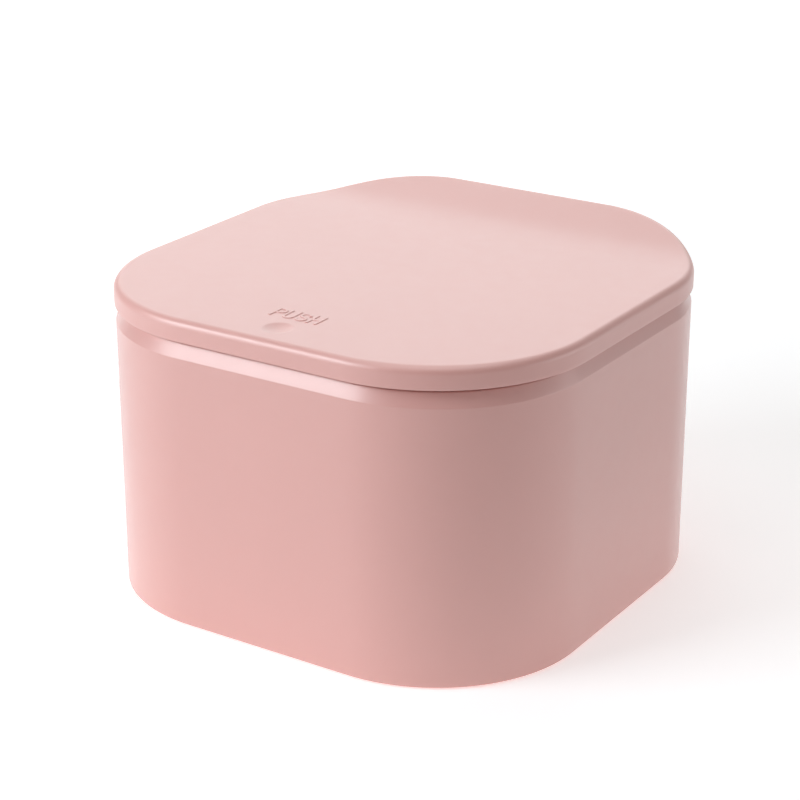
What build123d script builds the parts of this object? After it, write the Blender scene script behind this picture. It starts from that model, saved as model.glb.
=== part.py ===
from build123d import *
from math import acos, cos, exp, pi, radians, sin, sqrt, tan
import os

# Push-top countertop bin, modelled closed and latched, in millimetres.
# The origin is the middle of the footprint on the worktop, +Z is up, the pressed front faces -Y
# and the hinge is at the rear, +Y. A straight-walled bucket carries a lift-off collar. The collar
# holds the rear hinge, its two opening springs and damper, and the push latch under the lid's front.

# ---------------------------------------------------------------- lid, outer form
lid_width = 180.0
lid_corner = 57.5
lid_edge_round = 2.8
lid_wall = 2.2
skirt_height = 7.8
rise_slope = 0.29
rise_start = 24.0
rise_softness = 6.5
dip_depth = 0.5
dip_from_rear = 32.0
dip_length = 14.0
dimple_width = 10.4
dimple_depth = 1.0
dimple_from_edge = 12.2
rear_relief_margin = 27.5
rear_relief_below_hinge = 2.8

# ---------------------------------------------------------------- bucket
lid_overhang = 0.8
corner_ease = 2.0
body_wall = 2.4
body_floor = 2.6
rim_height = 104.9
bevel_height = 5.2
bevel_inset = 2.4
bevel_blend = 1.0
inner_floor_round = 5.0
base_edge_round = 0.6
base_ring = 12.0
base_recess = 0.8
lid_gap = 1.0

# ---------------------------------------------------------------- feet
foot_radius = 7.0
foot_thickness = 2.2
foot_stand = 0.6
foot_inset = 33.2
foot_play = 0.1

# ---------------------------------------------------------------- collar
collar_play = 0.4
collar_wall = 2.0
flange_thickness = 1.5
flange_setback = 0.8
deck_drop = 3.4
deck_thickness = 2.0
guide_depth = 6.0
opening_side_margin = 28.0
opening_end_margin = 30.0
opening_corner = 30.0
lip_wall = 1.6
lip_depth = 7.0

# ---------------------------------------------------------------- hinge
hinge_inset = 6.5
hinge_rise = 6.6
pin_radius = 1.5
pin_play = 0.06
pin_overhang = 0.5
knuckle_radius = 3.0
ear_radius = 2.9
stem_front = 12.0
stem_rear = 5.5
stem_neck = 2.2
swing_play = 0.5
station_inner = 18.0
ear_width = 3.0
knuckle_width = 3.5
side_play = 0.3
spring_room = 8.0
spring_wire = 0.9
spring_mean_radius = 2.5
spring_whole_turns = 5
spring_collar_angle = 300.0
spring_lid_angle = 108.0
spring_collar_leg = 15.5
spring_lid_leg = 8.0

# ---------------------------------------------------------------- lid tray
tray_play = 1.2
tray_wall = 1.6
tray_gap = 3.0
tray_behind_hinge = 10.5
tray_notch_width = 44.0
tray_notch_depth = 4.0
cover_seat = 0.2
arm_root = 2.7
arm_drop = 1.6
arm_neck = 5.0
screw_inset_x = 40.0
screw_inset_y = 44.0
screw_radius = 1.2
screw_length = 6.0
screw_head_radius = 2.5
screw_head_height = 1.5
boss_radius = 3.2

# ---------------------------------------------------------------- damper
gear_module = 0.8
sector_teeth = 16
pinion_teeth = 10
tooth_addendum = 0.7
tooth_dedendum = 1.15
tooth_backlash = 0.12
tooth_foot_share = 0.9
flank_steps = 3
sector_first_tooth = -1
sector_cut_teeth = 6
pressure_angle = radians(20)
mesh_direction = 225.0
gear_width = 6.0
damper_radius = 4.4
damper_length = 14.0
damper_gap = 0.6
shaft_radius = 1.2
shaft_play = 0.06
shaft_length = 6.0
well_play = 0.35
well_wall = 1.6
damper_tab_thickness = 1.4
damper_tab_length = 7.6
damper_tab_width = 8.0
damper_screw_length = 5.0
damper_screw_head = 1.0

# ---------------------------------------------------------------- push latch
latch_from_edge = 16.0
latch_width = 14.4
latch_depth = 13.0
latch_wall = 1.3
latch_length = 34.7
latch_play = 0.2
latch_flange_width = 34.0
latch_flange_thickness = 1.6
latch_pad_thickness = 3.0
latch_pad_edge = 1.0
latch_screw_spacing = 26.0
mouth_flare = 1.5
cavity_half_width = 5.1
flare_length = 5.3
release_stroke = 8.0
press_stroke = 1.9
striker_head_half_width = 2.8
striker_head_height = 2.4
striker_lead = 0.8
striker_stem_half_width = 1.4
striker_half_depth = 2.0
striker_below_mouth = 5.8
claw_play = 0.3
claw_thickness = 1.8
claw_relief = 0.7
claw_shoulder = 1.5
claw_hook_height = 2.0
claw_pivot_below_hook = 12.7
claw_pivot_radius = 0.9
slider_play = 0.2
slider_height = 8.0
slider_tail = 5.0
slider_cheek = 2.2
slider_bore_radius = 3.1
track_depth = 1.1
track_width = 3.4
track_top_room = 1.0
cam_pin_radius = 0.5
cam_pin_foot = 2.6
post_half_width = 1.1
latch_spring_radius = 2.4
latch_spring_wire = 0.6
latch_spring_turns = 5.0

# ---------------------------------------------------------------- derived levels and places
lid_half = lid_width / 2
body_width = lid_width - 2 * lid_overhang
body_half = body_width / 2
body_corner = lid_corner - corner_ease
foot_spacing = body_width - 2 * foot_inset
rear_relief_width = lid_width - 2 * rear_relief_margin
opening_width = lid_width - 2 * opening_side_margin
opening_length = lid_width - 2 * opening_end_margin
screw_spacing_x = lid_width - 2 * screw_inset_x
screw_spacing_y = lid_width - 2 * screw_inset_y
lid_bottom = rim_height + lid_gap
lid_top = lid_bottom + skirt_height
bevel_bottom = rim_height - bevel_height
mouth_half = body_half - bevel_inset - body_wall
mouth_corner = body_corner - bevel_inset - body_wall
collar_half = mouth_half - collar_play
collar_corner = mouth_corner - collar_play
collar_inner_half = collar_half - collar_wall
collar_inner_corner = collar_corner - collar_wall
deck_top = rim_height - deck_drop
deck_bottom = deck_top - deck_thickness
flange_half = body_half - bevel_inset - flange_setback
flange_corner = body_corner - bevel_inset - flange_setback
hinge_y = lid_half - hinge_inset
hinge_z = lid_bottom + hinge_rise
rear_relief_top = hinge_z - rear_relief_below_hinge
swing_radius = sqrt(hinge_inset**2 + rear_relief_below_hinge**2) + swing_play
tray_bottom = deck_top + tray_gap
tray_top = lid_top - lid_wall - dip_depth - cover_seat
tray_half = collar_inner_half - tray_play
tray_corner = collar_inner_corner - tray_play
tray_rear = hinge_y - tray_behind_hinge
tray_floor_top = tray_bottom + tray_wall
rise_y = lid_half - rise_start
dip_y = lid_half - dip_from_rear
sides = {"left": -1, "right": 1}
ends = {"front": -1, "rear": 1}


def finish(builder, name):
    """Labels a finished piece and writes its STEP file."""
    builder.part.label = name
    export_step(builder.part, f"parts/{name}.step")


def rise(y):
    """Height of the lid's top over its flat part: a soft dip, then a ramp up to the rear edge."""
    ramp = (sqrt((y - rise_y) ** 2 + rise_softness**2) + y - rise_y) / 2
    return rise_slope * ramp - dip_depth * exp(-(((y - dip_y) / dip_length) ** 2))


def above_lid(drop):
    """Sketch, in a YZ plane, of all that lies over the lid's top surface lowered by drop."""
    reach = lid_half + lid_wall
    flat_end = lid_half / 4
    steps = 9
    ys = [flat_end + (reach - flat_end) * i / steps for i in range(steps + 1)]
    crest = lid_top + lid_width
    with BuildSketch(Plane.YZ.offset(-lid_width)) as region:
        with BuildLine():
            Line((-reach, lid_top - drop), (0, lid_top - drop))
            Spline([(0, lid_top - drop)] + [(y, lid_top - drop + rise(y)) for y in ys])
            Polyline(
                (reach, lid_top - drop + rise(reach)),
                (reach, crest),
                (-reach, crest),
                (-reach, lid_top - drop),
            )
        make_face()
    return region.sketch


def top_outline(builder, drop):
    """The edges round the lid's top surface lowered by drop, without the seam across its middle."""
    lowest = lid_top - drop - dip_length * rise_slope
    high = builder.edges().filter_by(lambda edge: edge.center().Z > lowest)
    return high.filter_by(lambda edge: abs(edge.center().Y) > lid_edge_round)


os.makedirs("parts", exist_ok=True)

# ---------------------------------------------------------------- outer_body
# A polypropylene bucket of even wall. The rim leans in under the lid as a bevel, and the floor
# stands on a ring, with a round socket for each foot.
with BuildPart() as outer_body:
    with BuildSketch(Plane.XY.offset(foot_stand)):
        RectangleRounded(body_width, body_width, body_corner)
    extrude(amount=rim_height - foot_stand)
    rim = outer_body.faces().sort_by(Axis.Z)[-1]
    chamfer(rim.edges(), length=bevel_inset, length2=bevel_height, reference=rim)
    fillet(outer_body.edges().filter_by_position(Axis.Z, bevel_bottom, bevel_bottom), bevel_blend)
    fillet(outer_body.edges().group_by(Axis.Z)[0], base_edge_round)
    inner_width = body_width - 2 * body_wall
    inner_corner = body_corner - body_wall
    lean = 90 - 180 / pi * acos(bevel_inset / sqrt(bevel_inset**2 + bevel_height**2))
    with BuildSketch(Plane.XY.offset(foot_stand + body_floor)):
        RectangleRounded(inner_width, inner_width, inner_corner)
    extrude(amount=bevel_bottom - foot_stand - body_floor, mode=Mode.SUBTRACT)
    with BuildSketch(Plane.XY.offset(bevel_bottom)):
        RectangleRounded(inner_width, inner_width, inner_corner)
    extrude(amount=bevel_height, taper=lean, mode=Mode.SUBTRACT)
    inner_floor = outer_body.faces().filter_by(Plane.XY).filter_by(
        lambda face: abs(face.center().Z - foot_stand - body_floor) < base_recess / 2
    )
    fillet(inner_floor.edges(), inner_floor_round)
    with BuildSketch(Plane.XY.offset(foot_stand)):
        recess_width = body_width - 2 * base_ring
        RectangleRounded(recess_width, recess_width, body_corner - base_ring)
        with GridLocations(foot_spacing, foot_spacing, 2, 2):
            Circle(foot_radius + body_wall, mode=Mode.SUBTRACT)
    extrude(amount=base_recess, mode=Mode.SUBTRACT)
    with BuildSketch(Plane.XY.offset(foot_stand)):
        with GridLocations(foot_spacing, foot_spacing, 2, 2):
            Circle(foot_radius + foot_play)
    extrude(amount=foot_thickness - foot_stand, mode=Mode.SUBTRACT)
finish(outer_body, "outer_body")

# ---------------------------------------------------------------- feet
# Four rubber discs pressed into the sockets, standing a little below the ring.
for end, toward in ends.items():
    for side, across in sides.items():
        with BuildPart() as foot:
            with BuildSketch(Plane.XY):
                with Locations((across * foot_spacing / 2, toward * foot_spacing / 2)):
                    Circle(foot_radius)
            extrude(amount=foot_thickness)
            chamfer(foot.edges().group_by(Axis.Z)[0], foot_stand / 2)
        finish(foot, f"foot_{end}_{side}")

# ---------------------------------------------------------------- hinge stations
# Along the pin, from the middle outwards: ear, knuckle, spring, knuckle, ear.
ear_inner_x = station_inner
knuckle_inner_x = ear_inner_x + ear_width + side_play
spring_x = knuckle_inner_x + knuckle_width + side_play
knuckle_outer_x = spring_x + spring_room + side_play
ear_outer_x = knuckle_outer_x + knuckle_width + side_play
station_end = ear_outer_x + ear_width
ear_spans = (ear_inner_x, ear_outer_x)
knuckle_spans = (knuckle_inner_x, knuckle_outer_x)


# ---------------------------------------------------------------- damper places
sector_radius = gear_module * sector_teeth / 2
pinion_radius = gear_module * pinion_teeth / 2
mesh_angle = radians(mesh_direction)
damper_y = hinge_y + (sector_radius + pinion_radius) * cos(mesh_angle)
damper_z = hinge_z + (sector_radius + pinion_radius) * sin(mesh_angle)
pinion_tip = pinion_radius + tooth_addendum * gear_module
damper_x = gear_width / 2 + damper_gap
well_start = -gear_width / 2 - well_play - side_play
well_end = damper_x + damper_length + well_play
well_floor = damper_z - max(pinion_tip, damper_radius) - well_play
well_front = damper_y - max(pinion_tip, damper_radius) - well_play
tab_y = well_front - well_wall - damper_tab_length / 2
tab_x = damper_x + damper_length / 2

# ---------------------------------------------------------------- latch places
latch_y = -lid_half + latch_from_edge
mouth_z = deck_top - latch_play
flange_top = deck_bottom - latch_pad_thickness
flange_bottom = flange_top - latch_flange_thickness
latch_bottom = mouth_z - latch_length
hook_bottom = mouth_z - striker_below_mouth + claw_play
head_top = hook_bottom - claw_play
head_bottom = head_top - striker_head_height
pivot_z = hook_bottom - claw_pivot_below_hook
claw_inner = striker_head_half_width + claw_play
claw_outer = claw_inner + claw_thickness
pivot_x = (claw_inner + claw_outer) / 2
hook_tip = striker_stem_half_width + claw_play
cavity_half_depth = latch_depth / 2 - latch_wall
slider_half_depth = cavity_half_depth - slider_play
slider_half_width = cavity_half_width - slider_play
slider_bottom = pivot_z - slider_height / 2
claw_half_depth = slider_half_depth - slider_cheek - slider_play
post_top = head_bottom - press_stroke
flare_bottom = mouth_z - flare_length
spring_floor = latch_bottom + latch_wall
cam_pin_y = latch_y - cavity_half_depth + cam_pin_radius + pin_play
cam_pin_top = slider_bottom - slider_tail + release_stroke + 2 * track_top_room

# ---------------------------------------------------------------- collar_frame
# A moulded ring that drops into the bucket's mouth. Its flange rests on the rim, its sunk deck
# carries the latch in front and the hinge at the rear, and a lip guides waste through the opening.
with BuildPart() as collar_frame:
    with BuildSketch(Plane.XY.offset(rim_height)):
        RectangleRounded(2 * flange_half, 2 * flange_half, flange_corner)
    extrude(amount=flange_thickness)
    fillet(collar_frame.edges().group_by(Axis.Z)[-1], flange_thickness / 2)
    with BuildSketch(Plane.XY.offset(deck_bottom - guide_depth)):
        RectangleRounded(2 * collar_half, 2 * collar_half, collar_corner)
    extrude(amount=rim_height - deck_bottom + guide_depth)
    with BuildSketch(Plane.XY.offset(deck_top)):
        RectangleRounded(2 * collar_inner_half, 2 * collar_inner_half, collar_inner_corner)
    extrude(amount=lid_width, mode=Mode.SUBTRACT)
    with BuildSketch(Plane.XY.offset(deck_bottom - guide_depth)):
        RectangleRounded(2 * collar_inner_half, 2 * collar_inner_half, collar_inner_corner)
    extrude(amount=guide_depth, mode=Mode.SUBTRACT)
    with BuildSketch(Plane.XY.offset(deck_top - lip_depth)):
        RectangleRounded(
            opening_width + 2 * lip_wall, opening_length + 2 * lip_wall, opening_corner + lip_wall
        )
    extrude(amount=lip_depth)
    with BuildSketch(Plane.XY.offset(deck_top - lip_depth)):
        RectangleRounded(opening_width, opening_length, opening_corner)
    extrude(amount=lip_depth, mode=Mode.SUBTRACT)
    # the rear of flange and wall give way to the lid's rear edge as it swings under the hinge
    with BuildSketch(Plane.YZ.offset(-rear_relief_width / 2)):
        with Locations((hinge_y, hinge_z)):
            Circle(swing_radius)
    extrude(amount=rear_relief_width, mode=Mode.SUBTRACT)
    with BuildSketch(Plane.XY.offset(rim_height)):
        with Locations((0, lid_half)):
            Rectangle(rear_relief_width, 2 * (lid_half - collar_inner_half))
    extrude(amount=flange_thickness, mode=Mode.SUBTRACT)
    # well that the damper and its pinion sit in
    with BuildSketch(Plane.XY.offset(well_floor - well_wall)):
        with Locations(((well_start + well_end) / 2, (well_front - well_wall + collar_half) / 2)):
            Rectangle(well_end - well_start + 2 * well_wall, collar_half - well_front + well_wall)
    extrude(amount=deck_top - well_floor + well_wall)
    with BuildSketch(Plane.XY.offset(well_floor)):
        with Locations(((well_start + well_end) / 2, (well_front + collar_inner_half) / 2)):
            Rectangle(well_end - well_start, collar_inner_half - well_front)
    extrude(amount=deck_top - well_floor, mode=Mode.SUBTRACT)
    # boss under the deck for the damper's screw
    with BuildSketch(Plane.XY.offset(deck_top - damper_screw_length)):
        with Locations((tab_x, tab_y)):
            Circle(boss_radius)
    extrude(amount=damper_screw_length)
    with BuildSketch(Plane.XY.offset(deck_top)):
        with Locations((tab_x, tab_y)):
            Circle(screw_radius)
    extrude(amount=damper_tab_thickness - damper_screw_length, mode=Mode.SUBTRACT)
    # pad under the deck for the latch, with the hole that its neck passes through
    pad_rear = latch_y + latch_depth / 2 + latch_pad_edge
    with BuildSketch(Plane.XY.offset(flange_top)):
        with Locations((0, (pad_rear - collar_half) / 2)):
            Rectangle(latch_flange_width + 2 * latch_pad_edge, pad_rear + collar_half)
    extrude(amount=latch_pad_thickness)
    with BuildSketch(Plane.XY.offset(flange_top)):
        with Locations((0, latch_y)):
            RectangleRounded(latch_width + 2 * latch_play, latch_depth + 2 * latch_play, latch_wall)
    extrude(amount=deck_top - flange_top, mode=Mode.SUBTRACT)
    with BuildSketch(Plane.XY.offset(flange_top)):
        with Locations((0, latch_y)):
            with GridLocations(latch_screw_spacing, 1, 2, 1):
                Circle(screw_radius)
    extrude(amount=screw_length - latch_flange_thickness, mode=Mode.SUBTRACT)
    # ears of the two hinge stations, reaching back and up from the deck
    ear_outline = (
        (hinge_y - ear_radius, hinge_z),
        (hinge_y - stem_front, deck_top - deck_thickness / 2),
        (hinge_y - stem_rear, deck_top - deck_thickness / 2),
        (hinge_y - stem_neck, hinge_z - sqrt(ear_radius**2 - stem_neck**2)),
    )
    for across in sides.values():
        for start in ear_spans:
            with BuildSketch(Plane.YZ.offset(across * start)):
                with BuildLine():
                    Polyline(*ear_outline, close=True)
                make_face()
                with Locations((hinge_y, hinge_z)):
                    Circle(ear_radius)
                    Circle(pin_radius + pin_play / 2, mode=Mode.SUBTRACT)
            extrude(amount=across * ear_width)
finish(collar_frame, "collar_frame")

# ---------------------------------------------------------------- lid_cover
# The outer shell of the lid: flat, with a soft dip and a raised rear edge, a rounded shoulder, a
# short skirt that is cut back behind the hinge, and a fingertip dimple to press at the front.
cover_hollow_half = lid_half - lid_wall
hollow_round = lid_edge_round - lid_wall
with BuildPart() as cover_hollow:
    with BuildSketch(Plane.XY.offset(lid_bottom)):
        RectangleRounded(2 * cover_hollow_half, 2 * cover_hollow_half, lid_corner - lid_wall)
    extrude(amount=lid_width / 2)
    extrude(above_lid(lid_wall), amount=2 * lid_width, mode=Mode.SUBTRACT)
    fillet(top_outline(cover_hollow, lid_wall), hollow_round)

with BuildPart() as lid_cover:
    with BuildSketch(Plane.XY.offset(lid_bottom)):
        RectangleRounded(lid_width, lid_width, lid_corner)
    extrude(amount=lid_width / 2)
    extrude(above_lid(0), amount=2 * lid_width, mode=Mode.SUBTRACT)
    fillet(top_outline(lid_cover, 0), lid_edge_round)
    add(cover_hollow.part, mode=Mode.SUBTRACT)
    with BuildSketch(Plane.XY.offset(lid_bottom)):
        with Locations((0, lid_half)):
            Rectangle(rear_relief_width, 2 * hinge_inset)
    extrude(amount=rear_relief_top - lid_bottom, mode=Mode.SUBTRACT)
    dimple_radius = (dimple_width**2 / 4 + dimple_depth**2) / (2 * dimple_depth)
    with Locations((0, -lid_half + dimple_from_edge, lid_top + dimple_radius - dimple_depth)):
        Sphere(dimple_radius, mode=Mode.SUBTRACT)
    with BuildSketch(Plane.XY.offset(tray_floor_top + cover_seat)):
        with GridLocations(screw_spacing_x, screw_spacing_y, 2, 2):
            Circle(boss_radius)
    extrude(amount=lid_top - lid_wall / 2 - tray_floor_top - cover_seat)
    with BuildSketch(Plane.XY.offset(tray_floor_top + cover_seat)):
        with GridLocations(screw_spacing_x, screw_spacing_y, 2, 2):
            Circle(screw_radius)
    extrude(amount=screw_length - tray_wall, mode=Mode.SUBTRACT)
finish(lid_cover, "lid_cover")


def gear_sketch(plane, teeth, first, count, turn):
    """Toothed disc with involute flanks: count teeth, from the first, each 360/teeth apart."""
    pitch_radius = gear_module * teeth / 2
    base_radius = pitch_radius * cos(pressure_angle)
    tip_radius = pitch_radius + tooth_addendum * gear_module
    root_radius = pitch_radius - tooth_dedendum * gear_module
    half_at_pitch = (pi * gear_module / 2 - tooth_backlash) / (2 * pitch_radius)
    half_at_base = half_at_pitch + tan(pressure_angle) - pressure_angle
    flank = []
    for step in range(flank_steps + 1):
        radius = base_radius + (tip_radius - base_radius) * step / flank_steps
        roll = acos(base_radius / radius)
        angle = half_at_base - (tan(roll) - roll)
        flank.append((radius * cos(angle), radius * sin(angle)))
    foot = root_radius * tooth_foot_share
    right = [(foot * cos(half_at_base), foot * sin(half_at_base))] + flank
    left = [(x, -y) for x, y in reversed(right)]
    with BuildSketch(plane) as disc:
        Circle(root_radius)
        for tooth in range(first, first + count):
            with Locations(Location((0, 0, 0), (0, 0, turn + tooth * 360 / teeth))):
                Polygon(*right, *left, align=None)
    return disc.sketch


# ---------------------------------------------------------------- lid_tray
# The inner half of the lid, screwed up into the cover. It carries the four hinge knuckles, the
# toothed sector that turns the damper, and the T-shaped striker that the latch grips.
with BuildPart() as lid_tray:
    with BuildSketch(Plane.XY.offset(tray_bottom)) as tray_plan:
        RectangleRounded(2 * tray_half, 2 * tray_half, tray_corner)
        with Locations((0, tray_rear + lid_half)):
            Rectangle(lid_width, 2 * lid_half, mode=Mode.SUBTRACT)
        with Locations((0, tray_rear)):
            Rectangle(tray_notch_width, 2 * tray_notch_depth, mode=Mode.SUBTRACT)
    extrude(amount=tray_top - tray_bottom)
    with BuildSketch(Plane.XY.offset(tray_floor_top)):
        offset(tray_plan.sketch, -tray_wall)
    extrude(amount=tray_top - tray_floor_top, mode=Mode.SUBTRACT)
    with BuildSketch(Plane.XY.offset(tray_bottom)):
        with GridLocations(screw_spacing_x, screw_spacing_y, 2, 2):
            Circle(screw_radius + pin_play)
    extrude(amount=tray_wall, mode=Mode.SUBTRACT)
    # knuckles on their arms
    arm_outline = (
        (tray_rear - tray_wall / 2, tray_top - arm_root),
        (hinge_y, hinge_z - knuckle_radius),
        (hinge_y, hinge_z + knuckle_radius),
        (tray_rear - tray_wall / 2, tray_top),
    )
    for across in sides.values():
        for start in knuckle_spans:
            with BuildSketch(Plane.YZ.offset(across * start)):
                with BuildLine():
                    Polyline(*arm_outline, close=True)
                make_face()
                with Locations((hinge_y, hinge_z)):
                    Circle(knuckle_radius)
                    Circle(pin_radius + pin_play, mode=Mode.SUBTRACT)
            extrude(amount=across * knuckle_width)
    # toothed sector and the arm that holds it
    sector_plane = Plane(origin=(-gear_width / 2, hinge_y, hinge_z), x_dir=(0, 1, 0), z_dir=(1, 0, 0))
    with BuildSketch(sector_plane):
        add(gear_sketch(Plane.XY, sector_teeth, sector_first_tooth, sector_cut_teeth, mesh_direction))
        with Locations((0, lid_half - arm_drop)):
            Rectangle(lid_width, lid_width, mode=Mode.SUBTRACT)
        behind = hinge_inset - lid_wall - side_play
        with Locations((lid_half + behind, lid_half - rear_relief_below_hinge - side_play)):
            Rectangle(lid_width, lid_width, mode=Mode.SUBTRACT)
        Circle(knuckle_radius)
    extrude(amount=gear_width)
    notch_wall = tray_rear - tray_notch_depth - tray_wall / 2
    with BuildSketch(Plane.YZ.offset(-gear_width / 2)):
        with BuildLine():
            Polyline(
                (notch_wall, tray_top - arm_root),
                (damper_y, damper_z + pinion_tip + side_play),
                (hinge_y - arm_neck, hinge_z - arm_drop),
                (hinge_y, hinge_z),
                (hinge_y, hinge_z + knuckle_radius),
                (notch_wall, tray_top),
                close=True,
            )
        make_face()
    extrude(amount=gear_width)
    # striker under the front
    with BuildSketch(Plane.XY.offset(head_bottom)):
        with Locations((0, latch_y)):
            Rectangle(2 * striker_head_half_width, 2 * striker_half_depth)
    extrude(amount=striker_head_height)
    chamfer(lid_tray.edges().filter_by_position(Axis.Z, head_bottom, head_bottom).filter_by(Axis.Y), striker_lead)
    with BuildSketch(Plane.XY.offset(head_bottom)):
        with Locations((0, latch_y)):
            Rectangle(2 * striker_stem_half_width, 2 * striker_half_depth)
    extrude(amount=tray_floor_top - head_bottom)
finish(lid_tray, "lid_tray")

# ---------------------------------------------------------------- lid_screws
# Four pan-head screws that hold tray and cover together.
with BuildPart() as lid_screws:
    with BuildSketch(Plane.XY.offset(tray_bottom)):
        with GridLocations(screw_spacing_x, screw_spacing_y, 2, 2):
            Circle(screw_radius)
    extrude(amount=screw_length - tray_wall)
    with BuildSketch(Plane.XY.offset(tray_bottom)):
        with GridLocations(screw_spacing_x, screw_spacing_y, 2, 2):
            Circle(screw_head_radius)
    extrude(amount=-screw_head_height)
    fillet(lid_screws.edges().group_by(Axis.Z)[0], screw_head_height / 2)
finish(lid_screws, "lid_screws")

# ---------------------------------------------------------------- hinge_pin and torsion_spring
# On each side a steel pin, pressed into the ears, carries the knuckles and a torsion spring whose
# legs bear on the collar's deck and on the lid.
for side, across in sides.items():
    with BuildPart() as hinge_pin:
        with BuildSketch(Plane.YZ.offset(across * (ear_inner_x - pin_overhang))):
            with Locations((hinge_y, hinge_z)):
                Circle(pin_radius)
        extrude(amount=across * (station_end - ear_inner_x + 2 * pin_overhang))
        chamfer(hinge_pin.edges().filter_by(GeomType.CIRCLE), pin_overhang / 2)
    finish(hinge_pin, f"hinge_pin_{side}")

    spring_turns = spring_whole_turns + (spring_lid_angle + 360 - spring_collar_angle) / 360
    coil_length = spring_room - 2 * side_play - spring_wire
    coil_start = across * (spring_x + side_play + spring_wire / 2)
    toward_start = radians(spring_collar_angle)
    coil_plane = Plane(
        origin=(coil_start, hinge_y, hinge_z),
        x_dir=(0, cos(toward_start), sin(toward_start)),
        z_dir=(across, 0, 0),
    )
    with BuildPart() as torsion_spring:
        with BuildLine() as coil:
            Helix(
                pitch=coil_length / spring_turns,
                height=coil_length,
                radius=spring_mean_radius,
                lefthand=across < 0,
            )
        wire = coil_plane.location * coil.line
        with BuildSketch(Plane(origin=wire @ 0, z_dir=wire % 0)):
            Circle(spring_wire / 2)
        sweep(path=wire, is_frenet=True)
        with BuildSketch(Plane(origin=wire @ 0, z_dir=-(wire % 0))):
            Circle(spring_wire / 2)
        extrude(amount=spring_collar_leg)
        with BuildSketch(Plane(origin=wire @ 1, z_dir=wire % 1)):
            Circle(spring_wire / 2)
        extrude(amount=spring_lid_leg)
    finish(torsion_spring, f"torsion_spring_{side}")

# ---------------------------------------------------------------- damper
# A small barrel of thick grease with a pinion, screwed to the deck, that slows the opening lid.
barrel_plane = Plane(origin=(damper_x, damper_y, damper_z), x_dir=(0, 1, 0), z_dir=(1, 0, 0))
with BuildPart() as damper_body:
    with BuildSketch(barrel_plane):
        Circle(damper_radius)
    extrude(amount=damper_length)
    chamfer(damper_body.edges().filter_by(GeomType.CIRCLE), shaft_radius / 3)
    with BuildSketch(Plane.XY.offset(deck_top)):
        with Locations((tab_x, (damper_y + tab_y - damper_tab_length / 2) / 2)):
            Rectangle(damper_tab_width, damper_y - tab_y + damper_tab_length / 2)
    extrude(amount=damper_tab_thickness)
    with BuildSketch(barrel_plane):
        Circle(shaft_radius + shaft_play)
    extrude(amount=shaft_length, mode=Mode.SUBTRACT)
    with BuildSketch(Plane.XY.offset(deck_top)):
        with Locations((tab_x, tab_y)):
            Circle(screw_radius + pin_play)
    extrude(amount=damper_tab_thickness, mode=Mode.SUBTRACT)
finish(damper_body, "damper_body")

with BuildPart() as damper_screw:
    with BuildSketch(Plane.XY.offset(deck_top + damper_tab_thickness)):
        with Locations((tab_x, tab_y)):
            Circle(screw_radius)
    extrude(amount=-damper_screw_length + damper_tab_thickness)
    with BuildSketch(Plane.XY.offset(deck_top + damper_tab_thickness)):
        with Locations((tab_x, tab_y)):
            Circle(screw_head_radius)
    extrude(amount=damper_screw_head)
    fillet(damper_screw.edges().group_by(Axis.Z)[-1], damper_screw_head / 2)
finish(damper_screw, "damper_screw")

pinion_plane = Plane(origin=(-gear_width / 2, damper_y, damper_z), x_dir=(0, 1, 0), z_dir=(1, 0, 0))
with BuildPart() as damper_pinion:
    pinion_turn = mesh_direction + 180 + 180 / pinion_teeth
    extrude(gear_sketch(pinion_plane, pinion_teeth, 0, pinion_teeth, pinion_turn), amount=gear_width)
    with BuildSketch(pinion_plane):
        Circle(shaft_radius)
    extrude(amount=gear_width + damper_gap + shaft_length - side_play)
finish(damper_pinion, "damper_pinion")

# ---------------------------------------------------------------- push latch
# A push-push catch: the first press locks the slider down with its claws closed on the striker,
# the second lets it spring up, where the claws spread in the flared mouth.
with BuildPart() as latch_housing:
    with BuildSketch(Plane.XY.offset(latch_bottom)):
        with Locations((0, latch_y)):
            RectangleRounded(latch_width, latch_depth, latch_wall)
    extrude(amount=latch_length)
    with BuildSketch(Plane.XY.offset(flange_bottom)):
        with Locations((0, latch_y)):
            RectangleRounded(latch_flange_width, latch_depth, latch_wall)
            with GridLocations(latch_screw_spacing, 1, 2, 1):
                Circle(screw_radius + pin_play, mode=Mode.SUBTRACT)
    extrude(amount=latch_flange_thickness)
    cavity_outline = (
        (-cavity_half_width, spring_floor),
        (cavity_half_width, spring_floor),
        (cavity_half_width, flare_bottom),
        (cavity_half_width + mouth_flare, mouth_z),
        (-cavity_half_width - mouth_flare, mouth_z),
        (-cavity_half_width, flare_bottom),
    )
    with BuildSketch(Plane.XZ.offset(-latch_y - cavity_half_depth)):
        with BuildLine():
            Polyline(*cavity_outline, close=True)
        make_face()
    extrude(amount=2 * cavity_half_depth, mode=Mode.SUBTRACT)
    with BuildSketch(Plane.XY.offset(latch_bottom)):
        with Locations((0, cam_pin_y)):
            Circle(cam_pin_radius + pin_play / 2)
    extrude(amount=latch_wall, mode=Mode.SUBTRACT)
finish(latch_housing, "latch_housing")

with BuildPart() as latch_screws:
    with BuildSketch(Plane.XY.offset(flange_bottom)):
        with Locations((0, latch_y)):
            with GridLocations(latch_screw_spacing, 1, 2, 1):
                Circle(screw_radius)
    extrude(amount=screw_length)
    with BuildSketch(Plane.XY.offset(flange_bottom)):
        with Locations((0, latch_y)):
            with GridLocations(latch_screw_spacing, 1, 2, 1):
                Circle(screw_head_radius)
    extrude(amount=-screw_head_height)
    fillet(latch_screws.edges().group_by(Axis.Z)[0], screw_head_height / 2)
finish(latch_screws, "latch_screws")

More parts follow.
